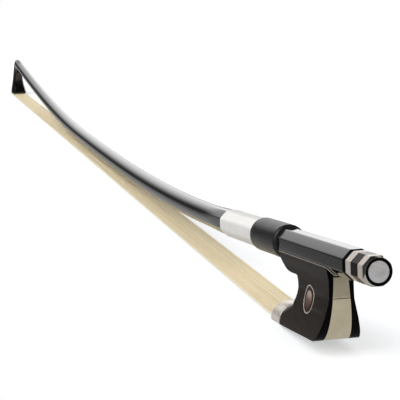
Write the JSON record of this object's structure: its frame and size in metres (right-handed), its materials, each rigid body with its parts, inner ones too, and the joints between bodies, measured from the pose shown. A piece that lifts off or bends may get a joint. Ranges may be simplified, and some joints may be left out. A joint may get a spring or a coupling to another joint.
{
  "type": "viola bow",
  "caption": "Viola bow with a black octagonal-to-round stick, ebony frog with silver fittings and pearl eyes, screw button, leather grip and pale hair, slackened.",
  "frame": {"origin": "middle of the bounding box's base: on the surface that the ferrule and the hair at the tip stand on", "axes": "+X from the button to the head, +Y across the bow towards its left side, +Z from the hair to the stick"},
  "size_m": [0.7451, 0.0146, 0.0371],
  "materials": {
    "carbon_lacquer": "polished black lacquer over carbon fibre",
    "ebony": "oiled ebony",
    "nickel_silver": "polished nickel silver, slightly warm",
    "mother_of_pearl": "polished shell",
    "brown_pearl": "polished brown shell",
    "abalone": "polished shell",
    "black_leather": "smooth black grip leather",
    "horsehair": "straw-coloured horsehair",
    "maple": "plain maple",
    "brass": "machined brass",
    "steel": "machined steel",
    "bound_hair": "hair end bound with thread and rosin"
  },
  "bodies": {
    "stick": {"stick": "carbon_lacquer", "tip_liner": "ebony", "tip_plate": "carbon_lacquer", "tip_knot": "bound_hair", "tip_plug": "maple", "silver_winding": "nickel_silver", "thumb_leather": "black_leather", "hair_ribbon": "horsehair"},
    "frog": {"frog_body": "ebony", "underslide": "nickel_silver", "liner_pin_rear": "steel", "liner_pin_front": "steel", "heel_plate_upper": "nickel_silver", "heel_plate_lower": "nickel_silver", "heel_plate_upper_pin_1": "nickel_silver", "heel_plate_lower_pin_1": "nickel_silver", "heel_plate_lower_pin_2": "nickel_silver", "ferrule": "nickel_silver", "spread_wedge": "maple", "slide_backing": "ebony", "slide_pearl": "abalone", "frog_knot": "bound_hair", "frog_plug": "maple", "eye_ring_left": "nickel_silver", "eye_ring_right": "nickel_silver", "eye_pearl_left": "brown_pearl", "eye_pearl_right": "brown_pearl", "eyelet": "brass"},
    "screw": {"screw_shaft": "steel", "button_core": "ebony", "button_ring_inner": "nickel_silver", "button_ring_outer": "nickel_silver", "button_pearl": "mother_of_pearl"}
  },
  "joints": [
    {"name": "screw_turn", "type": "hinge", "parent": "stick", "child": "screw", "pos_m": [-0.3725, 0, 0.033], "axis": [0.9945, 0, -0.1045], "range_deg": [-361, 5761]},
    {"name": "frog_slide", "type": "slide", "parent": "stick", "child": "frog", "axis": [-0.9945, 0, 0.1045], "range_m": [-0.0005, 0.008], "deforming": ["hair_ribbon"]}
  ],
  "couplings": [
    {"joint": "screw_turn", "follows": "frog_slide", "rad_per_m": 12566}
  ]
}
